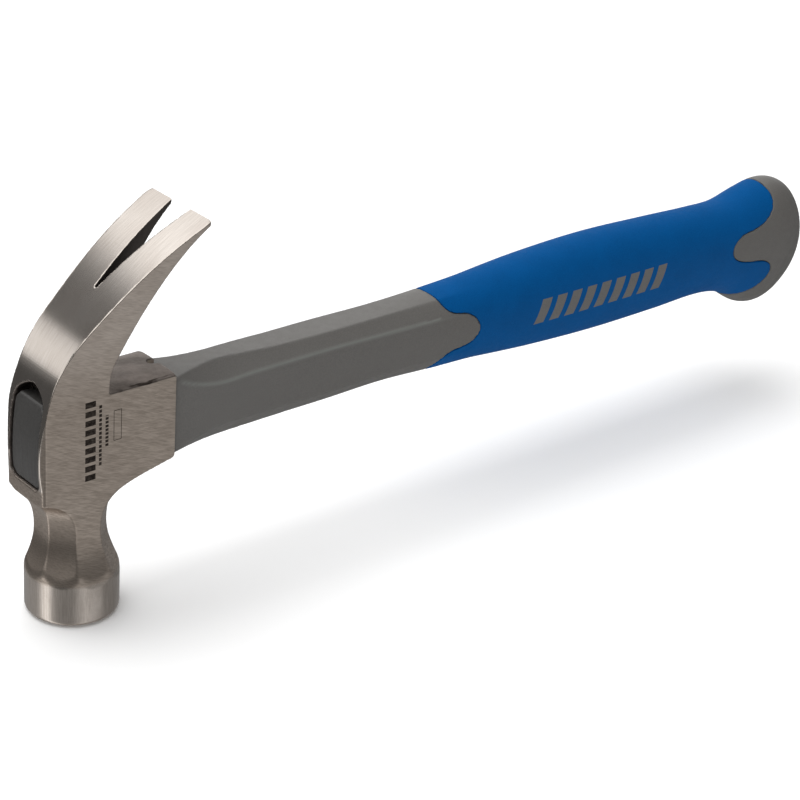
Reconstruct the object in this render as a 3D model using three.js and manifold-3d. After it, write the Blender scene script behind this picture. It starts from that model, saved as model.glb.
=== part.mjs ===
// Claw hammer with a forged steel head on a fibreglass core, a moulded shaft and a soft grip.
// Millimetres. The origin is the centre of the striking face. +Z runs up from the face to the
// claws, +X runs along the handle from the head to the butt, and the cheeks face -Y and +Y.

import * as THREE from 'three';
import Module from 'manifold-3d';
import { mergeVertices } from 'three/addons/utils/BufferGeometryUtils.js';

// ---- driving dimensions ------------------------------------------------------------------

const TOUCH_GAP = 0.3;           // between pieces that touch

const POLL_RADIUS = 14;
const FACE_CHAMFER = 0.9;
const POLL_TOP = 40;             // the round stock runs up inside the neck facets

const NECK_X = -0.6;             // the neck's axis lies a little outboard of the poll's
const NECK_WAIST = 9.9;          // from the neck's axis to a facet, at the waist
const NECK_WAIST_Z = 27;
const SCALLOP_Z = 12.5;          // where a facet runs out on the poll
const FACET_COUNT = 8;

const OUTER_FACE_X = -15.6;      // the head's outer face, where the eye opens
const OUTER_BULGE = 0.5;         // the outer face swells by this much half way up
const CHEEK = 9.8;               // half the width of the head over its cheeks
const CHEEK_EDGE = 0.8;          // bevel between the cheeks and the outer face

const COLLAR_END_X = 29.2;
const COLLAR_SHOULDER_Z = 71.4;  // where the crown of the collar starts
const COLLAR_CROWN_Z = 73;
const COLLAR_LOW_Z = 40;

const CLAW_TIP = new THREE.Vector2(36.3, 119.9);
const CLAW_TIP_THICKNESS = 1.6;
const CLAW_HALF_WIDTH = 15;
const CLAW_FLARE_Z = 78;         // the claws start to widen here
const CLAW_CORNER = 3;           // how far in from each side the tips are rounded off
const CLAW_CORNER_RISE = 2.1;    // and how far down
const SLOT_APEX = new THREE.Vector2(8.1, 100.7);
const SLOT_HALF_WIDTH = 4.5;     // at the tips
const SLOT_APEX_HALF_WIDTH = 0.5;
const SLOT_CUT = 24;             // depth of the cut, half of it above the claws
const SLOT_DRAFT = 0.03;         // each wall of the slot leans back by this much per millimetre

// The eye runs through the head along X. At the outer face it has an arch above the plug.
const EYE = [
  { x: OUTER_FACE_X, half: 7.5, low: 45, high: 72.2, bevel: 2, round: 0 },
  { x: 2, half: 7.8, low: 46, high: 70.4, bevel: 2, round: 0 },
  { x: COLLAR_END_X, half: 8.2, low: 46, high: 70, bevel: 1.6, round: 0 },
];
const ARCH_SHOULDER_Z = 71.2;
const ARCH_TOP_Z = 75.9;
const ARCH_DEPTH = 6.5;
const PLUG_RECESS = 0.6;
const PLUG_LENGTH = 9;
const TENON_START_X = 12;        // the shaft reaches this far into the eye

const CORE_HALF_WIDTH = 5;
const CORE_HALF_DEPTH = 8;
const CORE_END_X = 296;
const AXIS_Z = 57.4;             // the core's centre line

const SKIN = 2.4;                // thickness of the soft grip
const GRIP_FRONT_X = 118;
const GRIP_REAR_X = 288;

// Sections of the handle along X: half width, bottom, top, corner bevel, and roundness from
// 0, a bevelled rectangle, to 1, an oval. The bevels start as points at the collar.
const HANDLE = [
  { x: 29.5, half: 8.2, low: 44.8, high: 69.5, bevel: 0.4, round: 0 },
  { x: 38, half: 8.4, low: 44.3, high: 69.6, bevel: 3.6, round: 0 },
  { x: 47, half: 8.5, low: 44.1, high: 69.9, bevel: 5.4, round: 0 },
  { x: 57, half: 8.5, low: 44.7, high: 69.6, bevel: 4.8, round: 0 },
  { x: 70, half: 8.6, low: 45.3, high: 69.1, bevel: 4.2, round: 0 },
  { x: 90, half: 8.7, low: 45.7, high: 68.9, bevel: 3.9, round: 0 },
  { x: 112, half: 8.9, low: 45.8, high: 69.0, bevel: 4.3, round: 0.1 },
  { x: 132, half: 10.2, low: 44.4, high: 70.0, bevel: 5.0, round: 0.5 },
  { x: 150, half: 11.6, low: 43.0, high: 71.8, bevel: 5.4, round: 1 },
  { x: 175, half: 12.6, low: 41.1, high: 74.0, bevel: 5.4, round: 1 },
  { x: 205, half: 13.0, low: 39.9, high: 75.1, bevel: 5.4, round: 1 },
  { x: 235, half: 13.0, low: 40.1, high: 74.2, bevel: 5.4, round: 1 },
  { x: 258, half: 13.1, low: 40.7, high: 73.2, bevel: 5.4, round: 1 },
  { x: 272, half: 13.6, low: 38.2, high: 73.3, bevel: 5.4, round: 1 },
  { x: 284, half: 14.2, low: 31.6, high: 76.6, bevel: 5.4, round: 1 },
  { x: 293, half: 14.2, low: 30.6, high: 78.0, bevel: 5.4, round: 1 },
  { x: 301, half: 12.6, low: 35.0, high: 75.4, bevel: 5.0, round: 1 },
  { x: 305.8, half: 9.8, low: 41.0, high: 70.2, bevel: 4.0, round: 1 },
  { x: 307.8, half: 6.2, low: 46.4, high: 64.2, bevel: 3.0, round: 1 },
];

// ---- solids ------------------------------------------------------------------------------

const wasm = await Module();
wasm.setup();

function solid(geometry) {
  const bare = geometry.clone();
  bare.deleteAttribute('normal');
  bare.deleteAttribute('uv');
  const merged = mergeVertices(bare, 1e-4);
  return new wasm.Manifold(new wasm.Mesh({
    numProp: 3,
    vertProperties: new Float32Array(merged.attributes.position.array),
    triVerts: new Uint32Array(merged.index.array),
  }));
}

function surface(manifold) {
  const mesh = manifold.getMesh();
  const geometry = new THREE.BufferGeometry();
  geometry.setAttribute('position', new THREE.BufferAttribute(mesh.vertProperties, 3));
  geometry.setIndex(new THREE.BufferAttribute(mesh.triVerts, 1));
  geometry.computeVertexNormals();
  return geometry;
}

// A side outline, drawn in X and Z and grown by a margin, made solid across Y.
function acrossY(shape, halfWidth, curveSegments = 14, margin = 0) {
  const geometry = new THREE.ExtrudeGeometry(shape, {
    depth: 2 * halfWidth,
    curveSegments,
    bevelEnabled: margin > 0,
    bevelThickness: 0.01,
    bevelSize: 0,
    bevelOffset: margin,
    bevelSegments: 1,
  });
  geometry.rotateX(Math.PI / 2);
  geometry.translate(0, halfWidth, 0);
  return geometry;
}

// A front outline, drawn in Y and Z, made solid along X.
function alongX(shape, startX, endX) {
  const geometry = new THREE.ExtrudeGeometry(shape, {
    depth: endX - startX,
    bevelEnabled: false,
    curveSegments: 12,
  });
  const toRow = new THREE.Matrix4().makeBasis(
    new THREE.Vector3(0, 1, 0), new THREE.Vector3(0, 0, 1), new THREE.Vector3(1, 0, 0),
  );
  geometry.applyMatrix4(toRow);
  geometry.translate(startX, 0, 0);
  return geometry;
}

// ---- lofts along X -----------------------------------------------------------------------

const SIDE_STEPS = 3;            // steps along each of the eight sides of a section
const GRID = 5;                  // spacing of the handle's sections
const BEVEL_SIDE = 1.1;          // a bevel takes this much of its size off the side
const BEVEL_TOP = 0.9;           // and this much off the top or the bottom

// The point at a share of the way round a section, from the bevelled rectangle to the oval.
function sectionPoint(section, step) {
  const half = section.half;
  const depth = (section.high - section.low) / 2;
  const middle = (section.high + section.low) / 2;
  const edge = depth - section.bevel * BEVEL_SIDE;
  const flat = half - section.bevel * BEVEL_TOP;
  const corners = [
    [half, -edge], [half, edge], [flat, depth], [-flat, depth],
    [-half, edge], [-half, -edge], [-flat, -depth], [flat, -depth],
  ];
  const side = Math.floor(step / SIDE_STEPS) % corners.length;
  const share = (step % SIDE_STEPS) / SIDE_STEPS;
  const from = corners[side];
  const to = corners[(side + 1) % corners.length];
  const y = from[0] + (to[0] - from[0]) * share;
  const z = from[1] + (to[1] - from[1]) * share;
  const ovalScale = 1 / Math.hypot(y / half, z / depth);
  const scale = 1 + (ovalScale - 1) * (section.round ?? 0);
  return new THREE.Vector3(section.x, y * scale, middle + z * scale);
}

// A closed solid through sections: a cylinder whose rings are laid on them.
function loft(sections) {
  const around = 8 * SIDE_STEPS;
  const geometry = new THREE.CylinderGeometry(1, 1, 1, around, sections.length - 1);
  const position = geometry.attributes.position;
  for (let i = 0; i < position.count; i += 1) {
    const ring = Math.round((position.getY(i) + 0.5) * (sections.length - 1));
    const section = sections[ring];
    const radius = Math.hypot(position.getX(i), position.getZ(i));
    const turn = Math.atan2(position.getX(i), position.getZ(i)) / (2 * Math.PI);
    const step = Math.round((1 + turn) * around) % around;
    const centre = new THREE.Vector3(section.x, 0, (section.high + section.low) / 2);
    const point = centre.lerp(sectionPoint(section, step), Math.min(1, radius));
    position.setXYZ(i, point.x, point.y, point.z);
  }
  return geometry;
}

// A smooth value at x between the rows of a table of sections.
function sectionAt(table, x) {
  const last = table.length - 1;
  let row = 0;
  while (row < last - 1 && table[row + 1].x < x) row += 1;
  const from = table[row];
  const to = table[row + 1];
  const span = to.x - from.x;
  const share = THREE.MathUtils.clamp((x - from.x) / span, 0, 1);
  const slope = (key, at) => {
    const before = table[Math.max(0, at - 1)];
    const after = table[Math.min(last, at + 1)];
    return (after[key] - before[key]) / (after.x - before.x);
  };
  const result = { x };
  for (const key of ['half', 'low', 'high', 'bevel', 'round']) {
    const s2 = share * share;
    const s3 = s2 * share;
    result[key] = (2 * s3 - 3 * s2 + 1) * from[key] + (s3 - 2 * s2 + share) * span * slope(key, row)
      + (3 * s2 - 2 * s3) * to[key] + (s3 - s2) * span * slope(key, row + 1);
  }
  result.round = THREE.MathUtils.clamp(result.round, 0, 1);
  return result;
}

function shrunk(section, margin) {
  return {
    x: section.x,
    half: section.half - margin,
    low: section.low + margin,
    high: section.high - margin,
    bevel: Math.max(0.4, section.bevel - 0.6 * margin),
    round: section.round,
  };
}

// A stretch of the handle, thinner all over by a margin. Its sections lie on one grid.
function handleBetween(startX, endX, margin = 0) {
  const places = [startX];
  for (let x = GRID * Math.ceil((startX + 1) / GRID); x < endX - 1; x += GRID) places.push(x);
  places.push(endX);
  return loft(places.map((x) => shrunk(sectionAt(HANDLE, x), margin)));
}

// The sections of the eye between two places, at a given gap to its walls.
function eyeBetween(startX, endX, steps, margin) {
  const sections = [];
  for (let i = 0; i <= steps; i += 1) {
    const x = THREE.MathUtils.lerp(startX, endX, i / steps);
    sections.push({ ...shrunk(sectionAt(EYE, x), margin), x });
  }
  return sections;
}

// ---- steel head --------------------------------------------------------------------------

// One neck facet's profile, as the distance from the neck's axis against height.
function facetCutter(waist, isCheekSide, isCollarSide) {
  const shape = new THREE.Shape();
  shape.moveTo(POLL_RADIUS + 0.8, SCALLOP_Z - 1.5);
  shape.bezierCurveTo(POLL_RADIUS - 1, 16.4, waist + 0.3, 20.8, waist, NECK_WAIST_Z);
  if (isCheekSide) {
    shape.lineTo(waist, 46);
    shape.lineTo(40, 46);
  } else if (isCollarSide) {
    shape.bezierCurveTo(waist, 33, waist + 1.2, 36, 16, 39.4);
    shape.quadraticCurveTo(20, 41, 40, 44.4);
  } else {
    shape.bezierCurveTo(waist - 0.2, 33, waist + 0.8, 37, 14.3, 39.8);
    shape.bezierCurveTo(17.4, 41.9, 21, 43, 40, 48.4);
  }
  shape.lineTo(40, SCALLOP_Z - 1.5);
  shape.closePath();
  return acrossY(shape, 30, 10);
}

function sideOutline() {
  const shape = new THREE.Shape();
  const tipUnder = new THREE.Vector2(CLAW_TIP.x - 0.4, CLAW_TIP.y - CLAW_TIP_THICKNESS);
  const bulgeX = OUTER_FACE_X - OUTER_BULGE;
  shape.moveTo(OUTER_FACE_X, 30);
  shape.lineTo(OUTER_FACE_X, 45);
  shape.splineThru([
    new THREE.Vector2(bulgeX, 51), new THREE.Vector2(bulgeX, 58), new THREE.Vector2(-15.3, 66),
    new THREE.Vector2(-12.7, 76), new THREE.Vector2(-6.9, 86.5),
    new THREE.Vector2(1.1, 94.8), new THREE.Vector2(10.2, 102.8), new THREE.Vector2(22.6, 112),
    CLAW_TIP,
  ]);
  shape.lineTo(tipUnder.x, tipUnder.y);
  shape.bezierCurveTo(26.6, 111.2, 18.4, 100.2, 7.6, 80);
  shape.quadraticCurveTo(6.4, 77.6, 6.2, 72);
  shape.lineTo(6.2, 30);
  shape.closePath();
  return shape;
}

// The width of the head seen along the handle: straight cheeks that flare into the claws.
function frontOutline() {
  const shape = new THREE.Shape();
  const top = CLAW_TIP.y + 0.3;
  const shoulder = top - CLAW_CORNER_RISE;
  const flat = CLAW_HALF_WIDTH - CLAW_CORNER;
  shape.moveTo(-CHEEK, 20);
  shape.lineTo(CHEEK, 20);
  shape.lineTo(CHEEK, CLAW_FLARE_Z);
  shape.quadraticCurveTo(CHEEK + 1, 93, CLAW_HALF_WIDTH, shoulder);
  shape.quadraticCurveTo(CLAW_HALF_WIDTH + 0.2, top, flat, top);
  shape.lineTo(-flat, top);
  shape.quadraticCurveTo(-(CLAW_HALF_WIDTH + 0.2), top, -CLAW_HALF_WIDTH, shoulder);
  shape.quadraticCurveTo(-(CHEEK + 1), 93, -CHEEK, CLAW_FLARE_Z);
  shape.closePath();
  return shape;
}

// The collar: straight sides, a crowned top, and a rounded top corner at the shaft.
function collar() {
  const end = new THREE.Shape();
  end.moveTo(-CHEEK, COLLAR_LOW_Z - 10);
  end.lineTo(CHEEK, COLLAR_LOW_Z - 10);
  end.lineTo(CHEEK, COLLAR_SHOULDER_Z);
  end.bezierCurveTo(CHEEK - 1.2, COLLAR_CROWN_Z - 0.9, 6.4, COLLAR_CROWN_Z, 0, COLLAR_CROWN_Z);
  end.bezierCurveTo(-6.4, COLLAR_CROWN_Z, -(CHEEK - 1.2), COLLAR_CROWN_Z - 0.9, -CHEEK, COLLAR_SHOULDER_Z);
  end.closePath();
  const side = new THREE.Shape();
  side.moveTo(0, COLLAR_LOW_Z - 10);
  side.lineTo(COLLAR_END_X - 1.5, COLLAR_LOW_Z - 10);
  side.lineTo(COLLAR_END_X - 1.5, 43.9);
  side.quadraticCurveTo(COLLAR_END_X, 44.6, COLLAR_END_X, 47);
  side.lineTo(COLLAR_END_X, 71.8);
  side.bezierCurveTo(COLLAR_END_X - 0.4, COLLAR_CROWN_Z - 0.3, 27, COLLAR_CROWN_Z, 20, COLLAR_CROWN_Z + 0.3);
  side.lineTo(0, COLLAR_CROWN_Z + 0.4);
  side.closePath();
  return solid(alongX(end, 0, COLLAR_END_X + 1)).intersect(solid(acrossY(side, 20)));
}

// The V between the claws, cut square to their upper surface.
function nailSlot() {
  const length = 50;
  const tipDistance = SLOT_APEX.distanceTo(CLAW_TIP);
  const spread = SLOT_HALF_WIDTH - SLOT_APEX_HALF_WIDTH;
  const mouth = SLOT_APEX_HALF_WIDTH + (spread * length) / tipDistance;
  const shape = new THREE.Shape();
  shape.moveTo(0, SLOT_APEX_HALF_WIDTH);
  shape.absarc(0, 0, SLOT_APEX_HALF_WIDTH, Math.PI / 2, (3 * Math.PI) / 2, false);
  shape.lineTo(length, -mouth);
  shape.lineTo(length, mouth);
  shape.closePath();
  const geometry = new THREE.ExtrudeGeometry(shape, {
    depth: SLOT_CUT,
    bevelEnabled: false,
    curveSegments: 8,
  });
  geometry.translate(0, 0, -SLOT_CUT / 2);
  const position = geometry.attributes.position;
  for (let i = 0; i < position.count; i += 1) {
    const lean = SLOT_DRAFT * position.getZ(i) * Math.sign(position.getY(i));
    position.setY(i, position.getY(i) - lean);
  }
  const along = new THREE.Vector3(CLAW_TIP.x - SLOT_APEX.x, 0, CLAW_TIP.y - SLOT_APEX.y).normalize();
  const across = new THREE.Vector3(0, 1, 0);
  const normal = new THREE.Vector3().crossVectors(along, across);
  geometry.applyMatrix4(new THREE.Matrix4().makeBasis(along, across, normal));
  geometry.translate(SLOT_APEX.x, 0, SLOT_APEX.y);
  return solid(geometry);
}

// The bevel between each cheek and the outer face, which follows the face up into the claws.
function cheekBevel(side) {
  const size = 3;
  const shape = new THREE.Shape();
  shape.moveTo(OUTER_FACE_X - size, side * (CHEEK + size));
  shape.lineTo(OUTER_FACE_X + CHEEK_EDGE, side * (CHEEK + size));
  shape.lineTo(OUTER_FACE_X + CHEEK_EDGE, side * CHEEK);
  shape.lineTo(OUTER_FACE_X, side * (CHEEK - CHEEK_EDGE));
  shape.lineTo(OUTER_FACE_X - size, side * (CHEEK - CHEEK_EDGE));
  shape.closePath();
  const geometry = new THREE.ExtrudeGeometry(shape, { depth: 46, bevelEnabled: false });
  geometry.translate(0, 0, 26);
  return solid(geometry);
}

// The arched pocket above the plug, at the outer end of the eye.
function eyeArch() {
  const half = EYE[0].half - 0.2;
  const rise = ARCH_TOP_Z - ARCH_SHOULDER_Z;
  const shape = new THREE.Shape();
  shape.moveTo(half, ARCH_SHOULDER_Z - 5);
  shape.lineTo(half, ARCH_SHOULDER_Z);
  shape.bezierCurveTo(half - 0.8, ARCH_SHOULDER_Z + rise / 2, half / 3, ARCH_TOP_Z, 0, ARCH_TOP_Z);
  shape.bezierCurveTo(-half / 3, ARCH_TOP_Z, 0.8 - half, ARCH_SHOULDER_Z + rise / 2, -half, ARCH_SHOULDER_Z);
  shape.lineTo(-half, ARCH_SHOULDER_Z - 5);
  shape.closePath();
  return solid(alongX(shape, OUTER_FACE_X - 2, OUTER_FACE_X + ARCH_DEPTH));
}

function pollAndNeckStock() {
  const profile = [
    new THREE.Vector2(0, 0),
    new THREE.Vector2(POLL_RADIUS - FACE_CHAMFER, 0),
    new THREE.Vector2(POLL_RADIUS, FACE_CHAMFER),
    new THREE.Vector2(POLL_RADIUS, POLL_TOP),
    new THREE.Vector2(0, POLL_TOP),
  ];
  const geometry = new THREE.LatheGeometry(profile, 72);
  geometry.rotateX(Math.PI / 2);
  return solid(geometry);
}

function steelHead() {
  const width = solid(alongX(frontOutline(), -30, 60));
  let head = solid(acrossY(sideOutline(), 20, 24)).intersect(width);
  head = head.add(collar()).add(pollAndNeckStock());
  for (let i = 0; i < FACET_COUNT; i += 1) {
    const angle = (i * 2 * Math.PI) / FACET_COUNT;
    const isCheekSide = i % 4 === 2;
    const isCollarSide = i === 0;
    const waist = isCheekSide ? CHEEK : NECK_WAIST;
    const cutter = facetCutter(waist, isCheekSide, isCollarSide);
    cutter.rotateZ(angle);
    cutter.translate(NECK_X, 0, 0);
    head = head.subtract(solid(cutter));
  }
  head = head.subtract(cheekBevel(-1)).subtract(cheekBevel(1)).subtract(nailSlot());
  const eye = loft(eyeBetween(OUTER_FACE_X - 2, COLLAR_END_X + 2, 12, 0));
  return head.subtract(solid(eye)).subtract(eyeArch());
}

// ---- handle ------------------------------------------------------------------------------

function coreOutline() {
  const shape = new THREE.Shape();
  const straight = CORE_HALF_DEPTH - CORE_HALF_WIDTH;
  shape.absarc(0, straight, CORE_HALF_WIDTH, 0, Math.PI, false);
  shape.absarc(0, -straight, CORE_HALF_WIDTH, Math.PI, 2 * Math.PI, false);
  shape.closePath();
  return shape;
}

function coreSolid(startX, endX, gap) {
  const geometry = alongX(coreOutline(), startX, endX);
  const grow = 1 + gap / CORE_HALF_WIDTH;
  geometry.scale(1, grow, grow);
  geometry.translate(0, 0, AXIS_Z);
  return geometry;
}

// Side outline of the soft grip: it laps forward over the shaft above and below, and back over
// the butt, so that the harder moulding shows as tongues on both sides.
function gripOutline() {
  const shape = new THREE.Shape();
  shape.moveTo(GRIP_FRONT_X + 8, 90);
  shape.lineTo(GRIP_FRONT_X + 12, 76);
  shape.bezierCurveTo(133, 71, 132, 65.4, 139, 64.4);
  shape.bezierCurveTo(149, 64, 151, 53, 138, 52.4);
  shape.bezierCurveTo(132, 51, 132, 47, 127, 42);
  shape.lineTo(GRIP_FRONT_X + 4, 20);
  shape.lineTo(270, 20);
  shape.lineTo(273, 36);
  shape.bezierCurveTo(288, 42, 293, 52, 278, 53.2);
  shape.bezierCurveTo(262.5, 54, 262.5, 63, 275, 64.4);
  shape.bezierCurveTo(293, 67, 293, 79, GRIP_REAR_X - 8, 84);
  shape.lineTo(GRIP_REAR_X - 12, 90);
  shape.closePath();
  return shape;
}

function shaftAndButt() {
  const last = HANDLE[HANDLE.length - 1].x;
  const outer = solid(handleBetween(HANDLE[0].x, last));
  const gripRoom = solid(acrossY(gripOutline(), 30, 8, TOUCH_GAP));
  const inner = solid(handleBetween(110, 292, SKIN + TOUCH_GAP));
  const tenon = solid(loft(eyeBetween(TENON_START_X, HANDLE[0].x + 0.2, 4, TOUCH_GAP)));
  const room = solid(coreSolid(TENON_START_X - 1, CORE_END_X + TOUCH_GAP, TOUCH_GAP));
  return outer.subtract(gripRoom).add(inner).add(tenon).subtract(room);
}

function softGrip() {
  const outer = solid(handleBetween(110, 300));
  const inner = solid(handleBetween(105, 305, SKIN));
  return outer.intersect(solid(acrossY(gripOutline(), 30, 8))).subtract(inner);
}

function bondingResin() {
  const startX = OUTER_FACE_X + PLUG_RECESS + PLUG_LENGTH + TOUCH_GAP;
  const block = solid(loft(eyeBetween(startX, TENON_START_X - TOUCH_GAP, 5, TOUCH_GAP)));
  return block.subtract(solid(coreSolid(startX - 1, TENON_START_X + 1, TOUCH_GAP)));
}

// The plug fills the eye up to the arch, and its front follows the head's outer face, set back.
function eyePlug() {
  const endX = OUTER_FACE_X + PLUG_RECESS + PLUG_LENGTH;
  const block = solid(loft(eyeBetween(OUTER_FACE_X - 1, endX, 4, TOUCH_GAP)));
  const front = acrossY(sideOutline(), 20, 24);
  front.translate(PLUG_RECESS, 0, 0);
  return block.intersect(solid(front));
}

// ---- assembly ----------------------------------------------------------------------------

const hammer = new THREE.Group();

function place(name, manifold, color, roughness, metalness) {
  const material = new THREE.MeshStandardMaterial({ color, roughness, metalness });
  const mesh = new THREE.Mesh(surface(manifold), material);
  mesh.name = name;
  hammer.add(mesh);
}

const coreStartX = OUTER_FACE_X + PLUG_RECESS + PLUG_LENGTH + TOUCH_GAP;
place('steel_head', steelHead(), 0x9b9084, 0.32, 1);
place('eye_plug', eyePlug(), 0x3c3a37, 0.45, 0);
place('bonding_resin', bondingResin(), 0x8a6a2c, 0.4, 0);
place('fibreglass_core', solid(coreSolid(coreStartX, CORE_END_X, 0)), 0xd8cf9a, 0.5, 0);
place('shaft_moulding', shaftAndButt(), 0x5c5a58, 0.6, 0);
place('soft_grip', softGrip(), 0x19477a, 0.75, 0);

export default hammer;
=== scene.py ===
import math

import bpy
import numpy as np
from mathutils import Matrix, Vector


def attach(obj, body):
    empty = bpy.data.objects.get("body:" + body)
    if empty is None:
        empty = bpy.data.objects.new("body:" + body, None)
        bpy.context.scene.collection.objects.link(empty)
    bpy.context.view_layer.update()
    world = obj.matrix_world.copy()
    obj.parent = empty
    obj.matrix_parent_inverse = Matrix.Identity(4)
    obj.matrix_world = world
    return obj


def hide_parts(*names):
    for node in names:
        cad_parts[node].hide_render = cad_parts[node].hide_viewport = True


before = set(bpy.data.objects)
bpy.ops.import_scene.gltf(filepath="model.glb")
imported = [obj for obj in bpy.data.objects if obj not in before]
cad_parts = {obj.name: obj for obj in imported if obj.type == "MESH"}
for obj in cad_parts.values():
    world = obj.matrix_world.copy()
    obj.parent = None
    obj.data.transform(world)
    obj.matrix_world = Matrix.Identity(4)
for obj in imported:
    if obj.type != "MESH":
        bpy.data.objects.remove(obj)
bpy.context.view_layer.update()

# A claw hammer: forged steel head, grey moulded shaft and blue soft grip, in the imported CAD's own frame.
# Each visible piece is meshed from a field in millimetres that is below zero inside the piece.

MM = 0.001

# ---- the hammer's dimensions, in millimetres, as in the CAD ---------------------------------

POLL_RADIUS = 14.0
FACE_CHAMFER = 0.9
POLL_TOP = 40.0
NECK_X = -0.6
NECK_WAIST = 9.9
NECK_WAIST_Z = 27.0
SCALLOP_Z = 12.5
OUTER_FACE_X = -15.6
OUTER_BULGE = 0.5
CHEEK = 9.8
CHEEK_EDGE = 0.8
COLLAR_END_X = 29.2
COLLAR_SHOULDER_Z = 71.4
COLLAR_CROWN_Z = 73.0
CLAW_TIP = (36.3, 119.9)
CLAW_TIP_THICKNESS = 1.6
CLAW_HALF_WIDTH = 15.0
CLAW_FLARE_Z = 78.0
CLAW_CORNER = 3.0
CLAW_CORNER_RISE = 2.1
SLOT_APEX = (8.1, 100.7)
SLOT_HALF_WIDTH = 4.5
SLOT_APEX_HALF_WIDTH = 0.5
SLOT_DRAFT = 0.03
ARCH_SHOULDER_Z = 71.2
ARCH_TOP_Z = 75.9
ARCH_DEPTH = 6.5
PLUG_RECESS = 0.6
PLUG_LENGTH = 9.0
TENON_START_X = 12.0
CORE_HALF_WIDTH = 5.0
CORE_HALF_DEPTH = 8.0
CORE_END_X = 296.0
AXIS_Z = 57.4
SKIN = 2.4
TOUCH_GAP = 0.3

# A section's corner bevel reaches this many times its size down the side and across the top.
BEVEL_SIDE = 1.1
BEVEL_TOP = 0.9

# Mesh steps.
HEAD_STEP = 0.44
PLUG_STEP = 0.32
SHAFT_STEP = 0.7
GRIP_STEP = 0.64

# Sections along X: x, half width, bottom, top, corner bevel, roundness.
EYE = np.array([
    (OUTER_FACE_X, 7.5, 45.0, 72.2, 2.0, 0.0),
    (2.0, 7.8, 46.0, 70.4, 2.0, 0.0),
    (COLLAR_END_X, 8.2, 46.0, 70.0, 1.6, 0.0),
])
HANDLE = np.array([
    (29.5, 8.2, 44.8, 69.5, 0.4, 0.0),
    (38.0, 8.4, 44.3, 69.6, 3.6, 0.0),
    (47.0, 8.5, 44.1, 69.9, 5.4, 0.0),
    (57.0, 8.5, 44.7, 69.6, 4.8, 0.0),
    (70.0, 8.6, 45.3, 69.1, 4.2, 0.0),
    (90.0, 8.7, 45.7, 68.9, 3.9, 0.0),
    (112.0, 8.9, 45.8, 69.0, 4.3, 0.1),
    (132.0, 10.2, 44.4, 70.0, 5.0, 0.5),
    (150.0, 11.6, 43.0, 71.8, 5.4, 1.0),
    (175.0, 12.6, 41.1, 74.0, 5.4, 1.0),
    (205.0, 13.0, 39.9, 75.1, 5.4, 1.0),
    (235.0, 13.0, 40.1, 74.2, 5.4, 1.0),
    (258.0, 13.1, 40.7, 73.2, 5.4, 1.0),
    (272.0, 13.6, 38.2, 73.3, 5.4, 1.0),
    (284.0, 14.2, 31.6, 76.6, 5.4, 1.0),
    (293.0, 14.2, 30.6, 78.0, 5.4, 1.0),
    (301.0, 12.6, 35.0, 75.4, 5.0, 1.0),
    (305.8, 9.8, 41.0, 70.2, 4.0, 1.0),
    (307.8, 6.2, 46.4, 64.2, 3.0, 1.0),
])


# ---- curves ---------------------------------------------------------------------------------

def bezier(*controls, count=24):
    """Points along a Bezier curve of any degree, without its first point."""
    t = np.linspace(0, 1, count + 1)[1:, None]
    degree = len(controls) - 1
    terms = [math.comb(degree, i) * (1 - t) ** (degree - i) * t ** i * np.array(p)
             for i, p in enumerate(controls)]
    return list(sum(terms))


def smooth_through(knots, count=16):
    """Points along the natural cubic spline through the knots, without the first."""
    knots = np.array(knots, float)
    gaps = np.hypot(*np.diff(knots, axis=0).T)
    places = np.concatenate([[0], np.cumsum(gaps)])
    size = len(knots)
    system = np.eye(size)
    right = np.zeros((size, 2))
    for i in range(1, size - 1):
        system[i, i - 1:i + 2] = gaps[i - 1], 2 * (gaps[i - 1] + gaps[i]), gaps[i]
        right[i] = 6 * ((knots[i + 1] - knots[i]) / gaps[i] - (knots[i] - knots[i - 1]) / gaps[i - 1])
    bend = np.linalg.solve(system, right)
    points = []
    for i in range(size - 1):
        for place in np.linspace(places[i], places[i + 1], count + 1)[1:]:
            before, after, gap = places[i + 1] - place, place - places[i], gaps[i]
            points.append((bend[i] * before ** 3 + bend[i + 1] * after ** 3) / (6 * gap)
                          + (knots[i] / gap - bend[i] * gap / 6) * before
                          + (knots[i + 1] / gap - bend[i + 1] * gap / 6) * after)
    return points


class Outline:
    """A closed outline in a plane, as a field: the distance to it, below zero inside."""

    def __init__(self, points, margin=6.0, cell=0.12):
        points = np.array(points, float)
        self.low = points.min(0) - margin
        self.cell = cell
        self.size = np.ceil((points.max(0) + margin - self.low) / cell).astype(int) + 1
        u = self.low[0] + cell * np.arange(self.size[0])[:, None]
        v = self.low[1] + cell * np.arange(self.size[1])[None, :]
        nearest = np.full(self.size, np.inf)
        inside = np.zeros(self.size, bool)
        for (au, av), (bu, bv) in zip(points, np.roll(points, -1, axis=0)):
            du, dv = bu - au, bv - av
            length = du * du + dv * dv
            if length < 1e-12:
                continue
            share = np.clip(((u - au) * du + (v - av) * dv) / length, 0, 1)
            away = (u - au - share * du) ** 2 + (v - av - share * dv) ** 2
            np.minimum(nearest, away, out=nearest)
            if av != bv:
                inside ^= ((av > v) != (bv > v)) & (u < au + du * (v - av) / dv)
        self.field = np.sqrt(nearest) * np.where(inside, -1, 1)

    def __call__(self, u, v):
        fu = np.clip((u - self.low[0]) / self.cell, 0, self.size[0] - 1.001)
        fv = np.clip((v - self.low[1]) / self.cell, 0, self.size[1] - 1.001)
        iu, iv = fu.astype(int), fv.astype(int)
        tu, tv = fu - iu, fv - iv
        f = self.field
        return ((f[iu, iv] * (1 - tu) + f[iu + 1, iv] * tu) * (1 - tv)
                + (f[iu, iv + 1] * (1 - tu) + f[iu + 1, iv + 1] * tu) * tv)


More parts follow.
